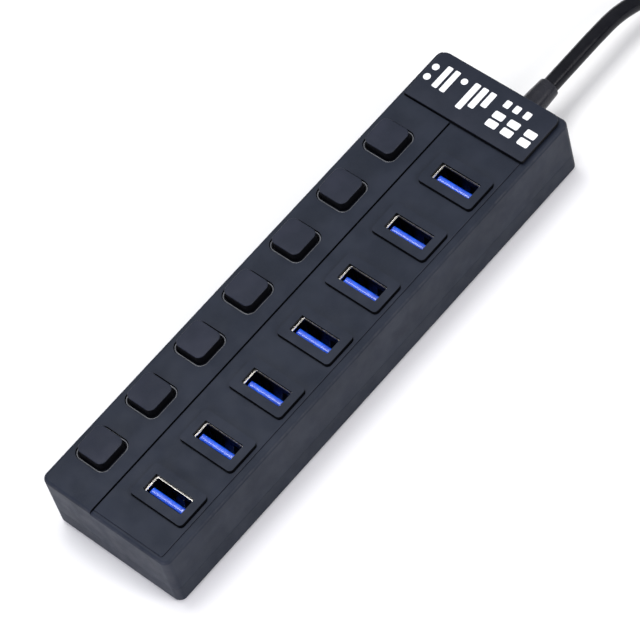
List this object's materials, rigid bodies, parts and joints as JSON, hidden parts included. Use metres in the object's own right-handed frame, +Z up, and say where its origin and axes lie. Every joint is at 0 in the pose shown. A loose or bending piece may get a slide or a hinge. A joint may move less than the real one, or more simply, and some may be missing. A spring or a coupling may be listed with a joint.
{
  "type": "usb hub",
  "caption": "Long flat desktop data hub: a row of upright sockets on raised pads, a push button beside each, and a short captive lead with a plug.",
  "frame": {"origin": "centre of the hub's own footprint, on the surface that its feet stand on", "axes": "+X along the hub's length to the end that the cable leaves, +Y across it to the button side, +Z up out of the sockets"},
  "size_m": [0.3442, 0.0448, 0.0239],
  "materials": {
    "casing_black": "fine-grain matt moulded black plastic",
    "button_black": "fine-grain matt black plastic, a little smoother than the casing",
    "frosted_guide": "frosted pale grey translucent plastic",
    "port_steel": "bright nickel-plated sheet steel",
    "port_blue": "satin bright blue moulded plastic",
    "board_green": "green solder mask",
    "chip_black": "dull black moulding",
    "can_steel": "satin drawn metal can",
    "screw_steel": "zinc-plated steel",
    "foot_rubber": "dull black rubber",
    "cable_black": "satin black flexible plastic"
  },
  "bodies": {
    "root": {"top_cover": "casing_black", "bottom_cover": "casing_black", "title_plate": "casing_black", "light_guide": "frosted_guide", "circuit_board": "board_green", "hub_chip_1": "chip_black", "hub_chip_2": "chip_black", "crystal": "can_steel", "capacitor": "can_steel", "switch_body_1": "chip_black", "port_shell_1": "port_steel", "port_insert_1": "port_blue", "switch_body_2": "chip_black", "port_shell_2": "port_steel", "port_insert_2": "port_blue", "switch_body_3": "chip_black", "port_shell_3": "port_steel", "port_insert_3": "port_blue", "switch_body_4": "chip_black", "port_shell_4": "port_steel", "port_insert_4": "port_blue", "switch_body_5": "chip_black", "port_shell_5": "port_steel", "port_insert_5": "port_blue", "switch_body_6": "chip_black", "port_shell_6": "port_steel", "port_insert_6": "port_blue", "switch_body_7": "chip_black", "port_shell_7": "port_steel", "port_insert_7": "port_blue", "screw_1": "screw_steel", "foot_1": "foot_rubber", "screw_2": "screw_steel", "foot_2": "foot_rubber", "screw_3": "screw_steel", "foot_3": "foot_rubber", "screw_4": "screw_steel", "foot_4": "foot_rubber", "strain_relief": "cable_black", "cable_lead": "cable_black", "cable_hank": "cable_black", "cable_tail": "cable_black", "cable_tie": "cable_black", "plug_housing": "cable_black", "plug_shell": "port_steel", "plug_insert": "port_blue"},
    "button_1": {"button_cap_1": "button_black", "switch_plunger_1": "button_black"},
    "button_2": {"button_cap_2": "button_black", "switch_plunger_2": "button_black"},
    "button_3": {"button_cap_3": "button_black", "switch_plunger_3": "button_black"},
    "button_4": {"button_cap_4": "button_black", "switch_plunger_4": "button_black"},
    "button_5": {"button_cap_5": "button_black", "switch_plunger_5": "button_black"},
    "button_6": {"button_cap_6": "button_black", "switch_plunger_6": "button_black"},
    "button_7": {"button_cap_7": "button_black", "switch_plunger_7": "button_black"}
  },
  "joints": [
    {"name": "button_1_press", "type": "slide", "parent": "root", "child": "button_1", "axis": [0, 0, -1], "range_m": [0, 0.0016], "stiffness_N_per_m": 1000, "springref_m": -0.0008},
    {"name": "button_2_press", "type": "slide", "parent": "root", "child": "button_2", "axis": [0, 0, -1], "range_m": [0, 0.0016], "stiffness_N_per_m": 1000, "springref_m": -0.0008},
    {"name": "button_3_press", "type": "slide", "parent": "root", "child": "button_3", "axis": [0, 0, -1], "range_m": [0, 0.0016], "stiffness_N_per_m": 1000, "springref_m": -0.0008},
    {"name": "button_4_press", "type": "slide", "parent": "root", "child": "button_4", "axis": [0, 0, -1], "range_m": [0, 0.0016], "stiffness_N_per_m": 1000, "springref_m": -0.0008},
    {"name": "button_5_press", "type": "slide", "parent": "root", "child": "button_5", "axis": [0, 0, -1], "range_m": [0, 0.0016], "stiffness_N_per_m": 1000, "springref_m": -0.0008},
    {"name": "button_6_press", "type": "slide", "parent": "root", "child": "button_6", "axis": [0, 0, -1], "range_m": [0, 0.0016], "stiffness_N_per_m": 1000, "springref_m": -0.0008},
    {"name": "button_7_press", "type": "slide", "parent": "root", "child": "button_7", "axis": [0, 0, -1], "range_m": [0, 0.0016], "stiffness_N_per_m": 1000, "springref_m": -0.0008}
  ]
}
